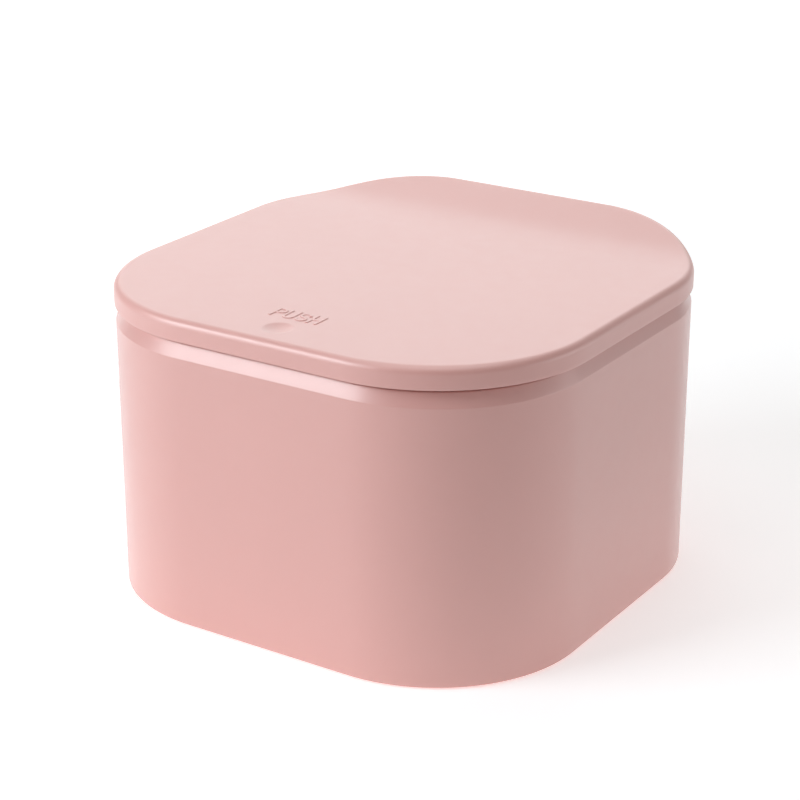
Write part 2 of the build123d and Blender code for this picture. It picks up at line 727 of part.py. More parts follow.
with BuildPart() as latch_slider:
    with BuildSketch(Plane.XY.offset(slider_bottom - slider_tail)):
        with Locations((0, latch_y)):
            Rectangle(2 * slider_half_width, 2 * slider_half_depth)
            Circle(slider_bore_radius, mode=Mode.SUBTRACT)
    extrude(amount=slider_tail)
    with BuildSketch(Plane.XY.offset(slider_bottom)):
        with Locations((0, latch_y)):
            Rectangle(2 * slider_half_width, 2 * slider_half_depth)
    extrude(amount=slider_height)
    with BuildSketch(Plane.XZ.offset(-latch_y - claw_half_depth - slider_play)):
        with Locations((0, slider_bottom + slider_height)):
            Rectangle(2 * slider_half_width, slider_height + claw_thickness + 2 * slider_play)
    extrude(amount=2 * (claw_half_depth + slider_play), mode=Mode.SUBTRACT)
    with BuildSketch(Plane.XY.offset(slider_bottom - slider_tail)):
        with Locations((0, latch_y - slider_half_depth)):
            Rectangle(track_width, 2 * track_depth)
    extrude(amount=cam_pin_top + track_top_room - slider_bottom + slider_tail, mode=Mode.SUBTRACT)
    with BuildSketch(Plane.XY.offset(slider_bottom)):
        with Locations((0, latch_y)):
            Rectangle(2 * post_half_width, 2 * claw_half_depth + 4 * slider_play)
    extrude(amount=post_top - slider_bottom)
    with BuildSketch(Plane.XZ.offset(-latch_y - slider_half_depth)):
        for across in sides.values():
            with Locations((across * pivot_x, pivot_z)):
                Circle(claw_pivot_radius + pin_play)
    extrude(amount=2 * slider_half_depth, mode=Mode.SUBTRACT)
finish(latch_slider, "latch_slider")

for side, across in sides.items():
    with BuildPart() as claw:
        with BuildSketch(Plane.XZ.offset(-latch_y - claw_half_depth)):
            with BuildLine():
                Polyline(
                    (across * claw_inner, pivot_z),
                    (across * claw_inner, hook_bottom),
                    (across * hook_tip, hook_bottom),
                    (across * hook_tip, hook_bottom + claw_hook_height / 2),
                    (across * (claw_inner + pin_play), hook_bottom + claw_hook_height),
                    (across * claw_outer, hook_bottom + claw_hook_height),
                    (across * claw_outer, hook_bottom),
                    (across * (claw_outer - claw_relief), hook_bottom - claw_shoulder),
                    (across * (claw_outer - claw_relief), pivot_z),
                    close=True,
                )
            make_face()
            with Locations((across * pivot_x, pivot_z)):
                Circle(claw_thickness / 2)
        extrude(amount=2 * claw_half_depth)
        with BuildSketch(Plane.XZ.offset(-latch_y - slider_half_depth)):
            with Locations((across * pivot_x, pivot_z)):
                Circle(claw_pivot_radius)
        extrude(amount=2 * slider_half_depth)
    finish(claw, f"latch_claw_{side}")

with BuildPart() as latch_spring:
    spring_top = slider_bottom - pin_play
    with BuildLine(Plane.XY.offset(spring_floor + latch_spring_wire / 2 + pin_play)) as coil:
        coil_height = spring_top - spring_floor - latch_spring_wire - 2 * pin_play
        Helix(
            pitch=coil_height / latch_spring_turns,
            height=coil_height,
            radius=latch_spring_radius,
        )
    wire_path = Location((0, latch_y, 0)) * coil.line
    with BuildSketch(Plane(origin=wire_path @ 0, z_dir=wire_path % 0)):
        Circle(latch_spring_wire / 2)
    sweep(path=wire_path, is_frenet=True)
finish(latch_spring, "latch_spring")

# The wire that the slider's cam track rides on, bent over under the housing.
with BuildPart() as latch_cam_pin:
    bend_z = latch_bottom - cam_pin_radius - pin_play
    with BuildLine(Plane.YZ) as wire_shape:
        FilletPolyline(
            (cam_pin_y, cam_pin_top),
            (cam_pin_y, bend_z),
            (cam_pin_y + cam_pin_foot, bend_z),
            radius=1.5 * cam_pin_radius,
        )
    with BuildSketch(Plane.XY.offset(cam_pin_top)):
        with Locations((0, cam_pin_y)):
            Circle(cam_pin_radius)
    sweep(path=wire_shape.wire())
finish(latch_cam_pin, "latch_cam_pin")
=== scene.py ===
import math

import bpy
import numpy as np
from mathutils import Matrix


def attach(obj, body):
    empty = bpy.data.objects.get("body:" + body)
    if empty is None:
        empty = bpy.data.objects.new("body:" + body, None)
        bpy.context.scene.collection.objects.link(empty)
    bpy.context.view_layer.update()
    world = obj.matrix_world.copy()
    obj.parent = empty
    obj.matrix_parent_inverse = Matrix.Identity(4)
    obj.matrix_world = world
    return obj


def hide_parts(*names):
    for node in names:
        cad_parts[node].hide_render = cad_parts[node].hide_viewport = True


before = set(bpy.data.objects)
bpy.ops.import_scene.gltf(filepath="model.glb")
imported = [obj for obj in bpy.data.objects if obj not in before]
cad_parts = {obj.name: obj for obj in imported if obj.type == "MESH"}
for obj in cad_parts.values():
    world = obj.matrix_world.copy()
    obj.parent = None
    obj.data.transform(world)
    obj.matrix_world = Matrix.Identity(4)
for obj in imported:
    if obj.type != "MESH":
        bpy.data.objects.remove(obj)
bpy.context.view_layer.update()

# ---------------------------------------------------------------- bucket
# The real piece is one straight-walled polypropylene moulding with a bevelled rim, a rounded inner
# floor, and a ring to stand on that has a socket for each foot.
MM = 0.001
BODY_HALF, BODY_CORNER, BODY_WALL = 89.2, 55.5, 2.4
BASE, FLOOR_TOP, FLOOR_ROUND = 0.6, 3.2, 5
RING_WIDTH, RING_DEPTH, RING_EDGE, BASE_ROUND = 12, 0.8, 0.15, 0.6
RIM, RIM_EDGE, RIM_ROUND = 104.9, 0.35, 0.1
BEVEL_FOOT, BEVEL_INSET, BEVEL_ROUND = 99.7, 2.4, 1.0
FOOT_PLACE, SOCKET_INNER, SOCKET_OUTER, SOCKET_TOP, SOCKET_EDGE = 56, 7.1, 9.4, 1.6, 0.1


def srgb(red, green, blue):
    """A colour given as 0 to 255 on screen, as the linear values that a shader takes."""
    values = np.array([red, green, blue]) / 255
    linear = np.where(values <= 0.04045, values / 12.92, ((values + 0.055) / 1.055) ** 2.4)
    return (*linear.tolist(), 1.0)


def plastic(name, colour, roughness, grain, grain_depth, coat=0.0, coat_roughness=0.25):
    """Moulded plastic: slow noise drifts its colour, finer noise its gloss, and the finest is a grain.

    grain is the grain's scale and grain_depth its height in millimetres; coat is the share of a
    smoother skin over the grain."""
    mottle = 0.02
    material = bpy.data.materials.new(name)
    material.use_nodes = True
    nodes, links = material.node_tree.nodes, material.node_tree.links
    shader = nodes["Principled BSDF"]
    shader.inputs["Specular IOR Level"].default_value = 1.0
    shader.inputs["Coat Weight"].default_value = coat
    shader.inputs["Coat Roughness"].default_value = coat_roughness
    place = nodes.new("ShaderNodeTexCoord")
    slow = nodes.new("ShaderNodeTexNoise")
    slow.inputs["Scale"].default_value = 22
    slow.inputs["Detail"].default_value = 3
    links.new(place.outputs["Object"], slow.inputs["Vector"])
    tint = nodes.new("ShaderNodeMix")
    tint.data_type = "RGBA"
    tint.inputs[6].default_value = tuple(v * (1 - mottle) for v in colour[:3]) + (1,)
    tint.inputs[7].default_value = tuple(min(v * (1 + mottle), 1) for v in colour[:3]) + (1,)
    links.new(slow.outputs["Fac"], tint.inputs[0])
    links.new(tint.outputs[2], shader.inputs["Base Color"])
    scuff = nodes.new("ShaderNodeTexNoise")
    scuff.inputs["Scale"].default_value = 160
    scuff.inputs["Detail"].default_value = 6
    scuff.inputs["Roughness"].default_value = 0.7
    links.new(place.outputs["Object"], scuff.inputs["Vector"])
    gloss = nodes.new("ShaderNodeMapRange")
    gloss.inputs["From Min"].default_value = 0.3
    gloss.inputs["From Max"].default_value = 0.7
    gloss.inputs["To Min"].default_value = roughness - 0.03
    gloss.inputs["To Max"].default_value = roughness + 0.04
    links.new(scuff.outputs["Fac"], gloss.inputs["Value"])
    links.new(gloss.outputs["Result"], shader.inputs["Roughness"])
    fine = nodes.new("ShaderNodeTexNoise")
    fine.inputs["Scale"].default_value = grain
    fine.inputs["Detail"].default_value = 2
    links.new(place.outputs["Object"], fine.inputs["Vector"])
    bump = nodes.new("ShaderNodeBump")
    bump.inputs["Strength"].default_value = 0.5
    bump.inputs["Distance"].default_value = grain_depth * MM
    links.new(fine.outputs["Fac"], bump.inputs["Height"])
    links.new(bump.outputs["Normal"], shader.inputs["Normal"])
    return material


def stations(straight, arc_steps, side_points):
    """Base points and outward normals round a rounded square, anticlockwise from the front's middle.

    Every ring of the bin is this small square of corner centres plus a radius along the normal.
    straight is the half length of each flat side, arc_steps the steps of each quarter circle, and
    side_points the places along each side, from -1 to 1. The front is turned by 90 degrees a side."""
    corner = (np.arange(1, arc_steps) / arc_steps - 1) * math.pi / 2
    base, normal = [], []
    for side, shares in enumerate(side_points):
        turn = side * math.pi / 2
        along = np.concatenate([shares * straight, np.full(len(corner), straight)])
        heading = turn + np.concatenate([np.full(len(shares), -math.pi / 2), corner])
        c, s = math.cos(turn), math.sin(turn)
        base.append(np.column_stack([c * along + s * straight, s * along - c * straight]))
        normal.append(np.column_stack([np.cos(heading), np.sin(heading)]))
    return np.concatenate(base), np.concatenate(normal)


def grid_faces(rows, columns):
    """Quads of a grid whose columns wrap round; row 0 is drawn first and the faces look outward."""
    i = np.arange(rows - 1)[:, None] * columns
    j = np.arange(columns)[None, :]
    k = (j + 1) % columns
    quads = np.stack(np.broadcast_arrays(i + j, i + k, i + columns + k, i + columns + j), axis=-1)
    return quads.reshape(-1, 4)


def fan(first, count, pole, flip=False):
    """Triangles from each edge of a ring of points to a pole, the other way round when flipped."""
    here = first + np.arange(count)
    after = first + (np.arange(count) + 1) % count
    if flip:
        here, after = after, here
    return np.column_stack([np.full(count, pole), here, after]).tolist()


def build_mesh(name, points, faces, body, smooth_angle=0.6):
    """Makes an object from points in millimetres, smooth except where faces meet sharply."""
    mesh = bpy.data.meshes.new(name)
    mesh.from_pydata((np.asarray(points) * MM).tolist(), [], [list(f) for f in faces])
    mesh.validate()
    mesh.shade_smooth()
    mesh.set_sharp_from_angle(angle=smooth_angle)
    item = bpy.data.objects.new(name, mesh)
    bpy.context.scene.collection.objects.link(item)
    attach(item, body)
    return item


def revolve(profile, centre, steps=96):
    """Points and quads of a profile of (radius, height) turned about the vertical through centre."""
    angle = np.arange(steps) * 2 * math.pi / steps
    profile = np.asarray(profile, dtype=float)
    x = centre[0] + profile[:, :1] * np.cos(angle)
    y = centre[1] + profile[:, :1] * np.sin(angle)
    z = np.broadcast_to(profile[:, 1:], x.shape)
    return np.stack([x, y, z], axis=-1).reshape(-1, 3), grid_faces(len(profile), steps)


def arc(inset, height, radius, start, end, steps):
    """Points of (inset, height) on a circular arc in the wall's section, angles in degrees."""
    angle = np.radians(np.linspace(start, end, steps))
    return np.stack([inset + radius * np.cos(angle), height + radius * np.sin(angle)], axis=-1)


def section(*parts):
    """Joins points and arcs of a wall's section into one list of (inset, height)."""
    return np.concatenate([np.atleast_2d(np.asarray(part, dtype=float)) for part in parts])


def loft(profile, base, normal, corner, pole_low, pole_high, shrink_steps=8):
    """Rings at each (inset, height) of a section, closed at both ends by rings that shrink to a pole.

    A point is the station's base plus its normal times (corner radius less inset), and the end
    rings are that ring scaled towards the middle at one height."""
    plan = base + normal * (corner - profile[:, 0])[:, None, None]
    shares = np.linspace(1, 0, shrink_steps + 1)[1:-1, None, None]
    plan = np.concatenate([plan[0] * shares[::-1], plan, plan[-1] * shares])
    low, high = np.full(len(shares), pole_low), np.full(len(shares), pole_high)
    height = np.concatenate([low, profile[:, 1], high])
    rows, count = plan.shape[:2]
    rings = np.dstack([plan, np.broadcast_to(height[:, None], (rows, count))])
    points = np.concatenate([rings.reshape(-1, 3), [(0, 0, pole_low), (0, 0, pole_high)]])
    faces = grid_faces(rows, count).tolist()
    faces += fan(0, count, len(points) - 2, flip=True)
    faces += fan((rows - 1) * count, count, len(points) - 1)
    return points, faces


lean = math.degrees(math.atan2(BEVEL_INSET, RIM - BEVEL_FOOT))
tangent = BEVEL_ROUND * math.tan(math.radians(lean / 2))
slope = np.array([math.sin(math.radians(lean)), math.cos(math.radians(lean))])
bevel_start = np.array([0, BEVEL_FOOT]) + slope * tangent
bevel_end = np.array([BEVEL_INSET, RIM])
outer_heights = np.linspace(BASE + 4, BEVEL_FOOT - 6, 14)
inner_heights = np.linspace(BEVEL_FOOT - 1, FLOOR_TOP + 6, 10)
rim_inside = BEVEL_INSET + BODY_WALL
body_section = section(
    (RING_WIDTH, BASE + RING_DEPTH), (RING_WIDTH, BASE + RING_EDGE),
    (RING_WIDTH - RING_EDGE, BASE), (BASE_ROUND + 0.2, BASE),
    arc(BASE_ROUND, BASE + BASE_ROUND, BASE_ROUND, 270, 180, 8),
    np.column_stack([np.zeros(14), outer_heights]),
    arc(BEVEL_ROUND, BEVEL_FOOT - tangent, BEVEL_ROUND, 180, 180 - lean, 7),
    np.linspace(bevel_start + slope, bevel_end - slope * 2 * RIM_EDGE, 5),
    bevel_end - slope * RIM_EDGE, (BEVEL_INSET + 0.12, RIM - RIM_ROUND), (BEVEL_INSET + RIM_EDGE, RIM),
    (rim_inside - RIM_EDGE, RIM), (rim_inside - RIM_ROUND, RIM - RIM_ROUND),
    (rim_inside - 0.05, RIM - RIM_EDGE), (BODY_WALL, BEVEL_FOOT),
    np.column_stack([np.full(10, BODY_WALL), inner_heights]),
    arc(BODY_WALL + FLOOR_ROUND, FLOOR_TOP + FLOOR_ROUND, FLOOR_ROUND, 180, 270, 12),
    (BODY_WALL + FLOOR_ROUND + 2, FLOOR_TOP), (BODY_WALL + FLOOR_ROUND + 9, FLOOR_TOP),
)
even = np.linspace(-1, 1, 25)
base, normal = stations(BODY_HALF - BODY_CORNER, 40, [even] * 4)
points, faces = loft(body_section, base, normal, BODY_CORNER, BASE + RING_DEPTH, FLOOR_TOP)
socket = [
    (SOCKET_OUTER, SOCKET_TOP), (SOCKET_OUTER, BASE + SOCKET_EDGE), (SOCKET_OUTER - SOCKET_EDGE, BASE),
    (SOCKET_INNER + SOCKET_EDGE, BASE), (SOCKET_INNER, BASE + SOCKET_EDGE), (SOCKET_INNER, SOCKET_TOP),
]
for x in (-FOOT_PLACE, FOOT_PLACE):
    for y in (-FOOT_PLACE, FOOT_PLACE):
        wall, quads = revolve(socket, (x, y))
        faces += (quads + len(points)).tolist()
        points = np.concatenate([points, wall])
pink = srgb(218, 157, 149)
body_plastic = plastic("body_plastic", pink, 0.4, 900, 0.012, coat=0.7)
bucket = build_mesh("bucket_shell", points, faces, "bin")
bucket.data.materials.append(body_plastic)
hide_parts("outer_body")

# ---------------------------------------------------------------- feet
# Four soft rubber discs, moulded and then pressed into the sockets under the base ring, which keep
# the bin from sliding when its lid is pressed.


def dress(material, *names):
    """Gives CAD nodes that stay in view their material."""
    for name in names:
        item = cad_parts[name]
        item.data.materials.clear()
        item.data.materials.append(material)
        item.data.shade_smooth()
        item.data.set_sharp_from_angle(angle=0.5)


rubber = plastic("rubber_feet", srgb(205, 202, 198), 0.75, 1500, 0.03)
dress(rubber, "foot_front_left", "foot_front_right", "foot_rear_left", "foot_rear_right")

# ---------------------------------------------------------------- collar, hinge, springs and damper
# The collar is one moulding that drops into the bucket's mouth. The pins and wound springs are
# steel, and the damper is a black barrel with a nylon pinion, held by a screw.


def metal(name, colour, roughness, streak_scale, axis):
    """Drawn or ground steel: fine streaks along one axis in its gloss and its surface."""
    material = bpy.data.materials.new(name)
    material.use_nodes = True
    nodes, links = material.node_tree.nodes, material.node_tree.links
    shader = nodes["Principled BSDF"]
    shader.inputs["Base Color"].default_value = colour
    shader.inputs["Metallic"].default_value = 1
    place = nodes.new("ShaderNodeTexCoord")
    stretch = nodes.new("ShaderNodeMapping")
    stretch.inputs["Scale"].default_value = tuple(1 if i == axis else 12 for i in range(3))
    links.new(place.outputs["Object"], stretch.inputs["Vector"])
    streak = nodes.new("ShaderNodeTexNoise")
    streak.inputs["Scale"].default_value = streak_scale
    streak.inputs["Detail"].default_value = 4
    links.new(stretch.outputs["Vector"], streak.inputs["Vector"])
    gloss = nodes.new("ShaderNodeMapRange")
    gloss.inputs["To Min"].default_value = roughness - 0.08
    gloss.inputs["To Max"].default_value = roughness + 0.08
    links.new(streak.outputs["Fac"], gloss.inputs["Value"])
    links.new(gloss.outputs["Result"], shader.inputs["Roughness"])
    bump = nodes.new("ShaderNodeBump")
    bump.inputs["Strength"].default_value = 0.3
    bump.inputs["Distance"].default_value = 0.02 * MM
    links.new(streak.outputs["Fac"], bump.inputs["Height"])
    links.new(bump.outputs["Normal"], shader.inputs["Normal"])
    return material


collar_plastic = plastic("collar_plastic", pink, 0.4, 900, 0.012)
dress(collar_plastic, "collar_frame")
pin_steel = metal("pin_steel", srgb(205, 205, 207), 0.3, 400, 0)
dress(pin_steel, "hinge_pin_left", "hinge_pin_right", "latch_cam_pin")
spring_steel = metal("spring_steel", srgb(196, 197, 200), 0.34, 500, 0)
dress(spring_steel, "torsion_spring_left", "torsion_spring_right", "latch_spring")
screw_steel = metal("screw_steel", srgb(200, 200, 202), 0.32, 700, 2)
dress(screw_steel, "lid_screws", "latch_screws", "damper_screw")
damper_plastic = plastic("damper_plastic", srgb(46, 46, 48), 0.42, 1200, 0.02)
dress(damper_plastic, "damper_body")
gear_nylon = plastic("gear_nylon", srgb(238, 236, 230), 0.45, 1200, 0.015)
dress(gear_nylon, "damper_pinion")

# ---------------------------------------------------------------- push latch
# A push-push catch: an off-white moulded case, screwed under the collar's deck, in which a nylon
# slider carries two claws that grip the lid.
latch_plastic = plastic("latch_plastic", srgb(232, 230, 226), 0.48, 1200, 0.02)
dress(latch_plastic, "latch_housing")
latch_nylon = plastic("latch_nylon", srgb(240, 238, 232), 0.42, 1200, 0.015)
dress(latch_nylon, "latch_slider", "latch_claw_left", "latch_claw_right")

# ---------------------------------------------------------------- lid cover and tray
# The cover is one moulding: a flat top with a shallow dip and a raised rear edge, a rounded shoulder,
# a short skirt cut back behind the hinge, and a fingertip dimple at the front. The tray is screwed
# up inside it and carries the hinge.
LID_HALF, LID_CORNER, LID_WALL, SHOULDER = 90.0, 57.5, 2.2, 2.8
LID_BOTTOM, LID_TOP = 105.9, 113.7
RELIEF_HALF, RELIEF_TOP, RELIEF_Y = 62.5, 109.7, 80
RAMP_Y, RAMP_SLOPE, RAMP_BLEND = 66, 0.29, 6.5
DIP_Y, DIP_DEPTH, DIP_WIDTH = 58, 0.5, 14
DIMPLE_Y, DIMPLE_RADIUS, DIMPLE_DEPTH, DIMPLE_EDGE = -77.8, 5.2, 1.0, 0.5
DIMPLE_SOFTNESS, DIMPLE_FADE_START, DIMPLE_FADE_END, FINE_HALF = 0.35, 6.5, 9, 7.5
SKIRT_EDGE = 0.35


def lid_height(y):
    """The lid's outer top: flat, less a dip shaped like a bell curve, plus a ramp towards the rear.

    The ramp is half of (sqrt(u * u + blend * blend) + u), where u is how far y is past its start:
    nothing before it, the ramp's slope after it, and a soft bend between."""
    past = y - RAMP_Y
    ramp = (np.sqrt(past**2 + RAMP_BLEND**2) + past) / 2
    return LID_TOP + RAMP_SLOPE * ramp - DIP_DEPTH * np.exp(-(((y - DIP_Y) / DIP_WIDTH) ** 2))


def dimple(x, y):
    """Depth of the fingertip dimple: a spherical cap, faded to nothing well outside its rim.

    Its rim is eased by half of (cap + sqrt(cap * cap + soft * soft)) in place of the cap's depth."""
    r = np.hypot(x, y - DIMPLE_Y)
    ball = (DIMPLE_RADIUS**2 + DIMPLE_DEPTH**2) / (2 * DIMPLE_DEPTH)
    cap = np.sqrt(np.maximum(ball**2 - r**2, 0)) - (ball - DIMPLE_DEPTH)
    eased = (cap + np.sqrt(cap**2 + (DIMPLE_SOFTNESS * DIMPLE_EDGE) ** 2)) / 2
    fade = (DIMPLE_FADE_END - r) / (DIMPLE_FADE_END - DIMPLE_FADE_START)
    return eased * np.clip(fade, 0, 1)


fine = np.linspace(-FINE_HALF, FINE_HALF, 61) / (LID_HALF - LID_CORNER)
coarse = np.linspace(fine[-1], 1, 18)[1:]
front_side = np.concatenate([-coarse[::-1], fine, coarse])
rear_side = np.linspace(-1, 1, 49)
lid_base, lid_normal = stations(
    LID_HALF - LID_CORNER, 48, [front_side, rear_side, rear_side, rear_side]
)
count = len(lid_base)


def ring(inset, height):
    """One ring of the lid at an inset from its outline; height is a number or one per station."""
    plan = lid_base + lid_normal * (LID_CORNER - inset)
    return np.column_stack([plan, np.broadcast_to(height, count)])


outline = ring(0, 0)
behind = (outline[:, 1] > RELIEF_Y) & (np.abs(outline[:, 0]) < RELIEF_HALF)
lip = np.where(behind, RELIEF_TOP, LID_BOTTOM)
rings = []
skirt_foot = (
    (LID_WALL, 0.3), (LID_WALL - 0.1, 0.06), (LID_WALL - 0.3, 0),
    (SKIRT_EDGE, 0), (0.1, 0.1), (0, SKIRT_EDGE),
)
for inset, up in skirt_foot:
    rings.append(ring(inset, lip + up))


def outward_tilt(y):
    """Angle at each station by which the top climbs outward: its slope along Y times the normal's Y."""
    slope = (lid_height(y + 0.01) - lid_height(y - 0.01)) / 0.02
    return np.arctan(slope * lid_normal[:, 1])


tilt = outward_tilt(outline[:, 1] - lid_normal[:, 1] * SHOULDER)


def shoulder_ring(radius, wall, top, share):
    """One ring of a ball of the given radius rolled along the edge, where it touches wall and top.

    The ball's centre is one radius in from the wall and one radius below the top along its normal,
    and share runs from 0 at the wall to 1 at the top."""
    angle = share * (math.pi / 2 + tilt)
    touch = ring(wall + radius * (1 + np.sin(tilt))[:, None], 0)
    centre = top(touch[:, 1]) - radius * np.cos(tilt)
    plan = ring(wall + radius * (1 - np.cos(angle))[:, None], 0)
    plan[:, 2] = centre + radius * np.sin(angle)
    return plan


edge_height = shoulder_ring(SHOULDER, 0, lid_height, 0)[:, 2] + SHOULDER
for share in (0.15, 0.5, 0.85):
    rings.append(ring(0, lip + SKIRT_EDGE + share * (edge_height - SHOULDER - lip - SKIRT_EDGE)))
for share in np.linspace(0, 1, 16):
    rings.append(shoulder_ring(SHOULDER, 0, lid_height, share))
insets = np.concatenate([[3.9, 4.3, 4.8], np.linspace(5.2, 19.5, 58), np.linspace(20.5, 30, 10)])
for inset in insets:
    plan = ring(inset, 0)
    rings.append(ring(inset, lid_height(plan[:, 1]) - dimple(plan[:, 0], plan[:, 1])))
core = rings[-1][:, :2]
for share in np.linspace(1, 0, 31)[1:-1]:
    plan = core * share
    rings.append(np.column_stack([plan, lid_height(plan[:, 1])]))
inner = []
for share in np.linspace(0, 1, 31)[1:-1]:
    plan = core * share
    inner.append(np.column_stack([plan, lid_height(plan[:, 1]) - LID_WALL]))
for inset in (30, 24, 18, 12, 8, 5, 3.6):
    plan = ring(inset, 0)
    inner.append(ring(inset, lid_height(plan[:, 1]) - LID_WALL))
inner_shoulder = SHOULDER - LID_WALL
for share in np.linspace(1, 0, 8):
    inner.append(shoulder_ring(inner_shoulder, LID_WALL, lambda y: lid_height(y) - LID_WALL, share))
inner.append(ring(LID_WALL, (lip + edge_height - SHOULDER) / 2))
poles = [(0, 0, LID_TOP), (0, 0, LID_TOP - LID_WALL)]
points = np.concatenate([*rings, *inner, poles])
first_inner = len(rings) * count
last_inner = first_inner + (len(inner) - 1) * count
here = np.arange(count)
after = (here + 1) % count
faces = grid_faces(len(rings), count).tolist()
faces += (grid_faces(len(inner), count) + first_inner).tolist()
faces += fan(first_inner - count, count, len(points) - 2)
faces += fan(first_inner, count, len(points) - 1, flip=True)
faces += np.column_stack([last_inner + here, last_inner + after, after, here]).tolist()
lid_plastic = plastic("lid_plastic", pink, 0.42, 1100, 0.015, coat=0.7, coat_roughness=0.4)
cover = build_mesh("lid_shell", points, faces, "lid")
cover.data.materials.append(lid_plastic)
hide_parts("lid_cover")
tray_plastic = plastic("tray_plastic", pink, 0.4, 900, 0.012)
dress(tray_plastic, "lid_tray")

# ---------------------------------------------------------------- legend
# The word PUSH, moulded in the lid's own plastic just proud of its top behind the dimple: thin
# raised strokes of even width.
STROKE, RAISED = 1.0, 0.24
LETTER_STARTS, LETTER_WIDTH = (-10.3, -5.5, -0.5, 4.7), 3.4
LEGEND_LOW, LEGEND_HIGH = -68.2, -61.8


def bend(x, y, wide, tall, start, end, steps):
    """Points of an elliptical arc about (x, y) with half sizes wide and tall, angles in radians."""
    angle = np.linspace(start, end, steps)
    return np.column_stack([x + wide * np.cos(angle), y + tall * np.sin(angle)])


def letter_paths():
    """Centre lines of the four letters on the lid's top: straight runs and elliptical arcs."""
    low, high, mid = LEGEND_LOW, LEGEND_HIGH, (LEGEND_LOW + LEGEND_HIGH) / 2
    half, wide, opening = (high - low) / 4, LETTER_WIDTH / 2, 0.35
    p, u, s, h = LETTER_STARTS
    bowl = bend(p + LETTER_WIDTH - half, high - half, half, half, math.pi / 2, -math.pi / 2, 13)
    cup = bend(u + wide, low + wide, wide, wide, math.pi, 2 * math.pi, 17)
    upper = bend(s + wide, high - half, wide, half, opening, 1.5 * math.pi, 17)
    lower = bend(s + wide, low + half, wide, half, 0.5 * math.pi, opening - math.pi, 17)
    return [
        np.concatenate([[(p, low), (p, high)], bowl, [(p, mid)]]),
        np.concatenate([[(u, high)], cup, [(u + LETTER_WIDTH, high)]]),
        np.concatenate([upper, lower[1:]]),
        np.array([(h, low), (h, high)]),
        np.array([(h + LETTER_WIDTH, low), (h + LETTER_WIDTH, high)]),
        np.array([(h, mid), (h + LETTER_WIDTH, mid)]),
    ]


def raised_stroke(path, first):
    """A low bar along a path, with faces for points numbered from first.

    Its section is a superellipse: cosine and sine to the power 0.5, sign kept, scaled to half the
    stroke's width and to its height, which is flat on top with steep soft sides."""
    ahead = np.gradient(path, axis=0)
    ahead /= np.linalg.norm(ahead, axis=1)[:, None]
    aside = np.stack([ahead[:, 1], -ahead[:, 0]], axis=-1)
    start = path[:1] - ahead[:1] * STROKE / 2
    end = path[-1:] + ahead[-1:] * STROKE / 2
    path = np.concatenate([start, path, end])
    aside = np.concatenate([aside[:1], aside, aside[-1:]])
    angle = np.linspace(0, 2 * math.pi, 25)[:-1]
    across = np.sign(np.cos(angle)) * np.abs(np.cos(angle)) ** 0.5 * STROKE / 2
    up = np.sign(np.sin(angle)) * np.abs(np.sin(angle)) ** 0.5 * RAISED
    flat = path[:, None] + aside[:, None] * across[:, None]
    height = np.broadcast_to(LID_TOP + up, flat.shape[:2])
    bar = np.dstack([flat, height])
    rows, columns = bar.shape[:2]
    last = first + (rows - 1) * columns
    ends = [list(range(first + columns - 1, first - 1, -1)), list(range(last, last + columns))]
    return bar.reshape(-1, 3), (grid_faces(rows, columns) + first).tolist() + ends


points, faces = np.zeros((0, 3)), []
for path in letter_paths():
    bar, polygons = raised_stroke(path, len(points))
    faces += polygons
    points = np.concatenate([points, bar])
legend = build_mesh("push_legend", points, faces, "lid")
legend.data.materials.append(lid_plastic)

# ---------------------------------------------------------------- studio
# Matt white paper under the bin that runs out to a white ground and keeps the bin's shadow, in a
# white room. Rays from the camera and mirrored ones see the paper's glow, LIFT, grow with distance.
# Rays that only carry light see another, BOUNCE, near the bin. It isn't what makes the ground white:
# it lights the walls' feet from below, as one more lamp would.
FLOOR_HALF = 6.0
LIFT_NEAR, LIFT_FAR, LIFT_START, LIFT_END = 0.43, 1.0, 0.28, 1.1
BOUNCE_NEAR, BOUNCE_FAR, BOUNCE_START, BOUNCE_END = 0.72, 0.02, 0.10, 0.45
scene = bpy.context.scene
scene.view_settings.view_transform = "Standard"
floor_mesh = bpy.data.meshes.new("studio_floor")
corners = [(-1, -1, 0), (1, -1, 0), (1, 1, 0), (-1, 1, 0)]
floor_mesh.from_pydata((np.array(corners) * FLOOR_HALF).tolist(), [], [(0, 1, 2, 3)])
floor = bpy.data.objects.new("studio_floor", floor_mesh)
scene.collection.objects.link(floor)
paper = bpy.data.materials.new("studio_paper")
paper.use_nodes = True
nodes, links = paper.node_tree.nodes, paper.node_tree.links


def seen_directly(nodes, links):
    """1 on rays from the camera and on mirrored or refracted ones, 0 on rays that only carry light."""
    rays = nodes.new("ShaderNodeLightPath")
    total = nodes.new("ShaderNodeMath")
    total.operation = "ADD"
    links.new(rays.outputs["Is Camera Ray"], total.inputs[0])
    links.new(rays.outputs["Is Glossy Ray"], total.inputs[1])
    both = nodes.new("ShaderNodeMath")
    both.operation = "ADD"
    both.use_clamp = True
    links.new(total.outputs["Value"], both.inputs[0])
    links.new(rays.outputs["Is Transmission Ray"], both.inputs[1])
    return both.outputs["Value"]


def paper_shader(nodes, links, albedo):
    """Matt paper that also glows: its shader output, and the socket of the glow's strength."""
    matt = nodes.new("ShaderNodeBsdfDiffuse")
    matt.inputs["Color"].default_value = (albedo, albedo, albedo, 1)
    shine = nodes.new("ShaderNodeEmission")
    mixed = nodes.new("ShaderNodeAddShader")
    links.new(matt.outputs["BSDF"], mixed.inputs[0])
    links.new(shine.outputs["Emission"], mixed.inputs[1])
    return mixed.outputs["Shader"], shine.inputs["Strength"]


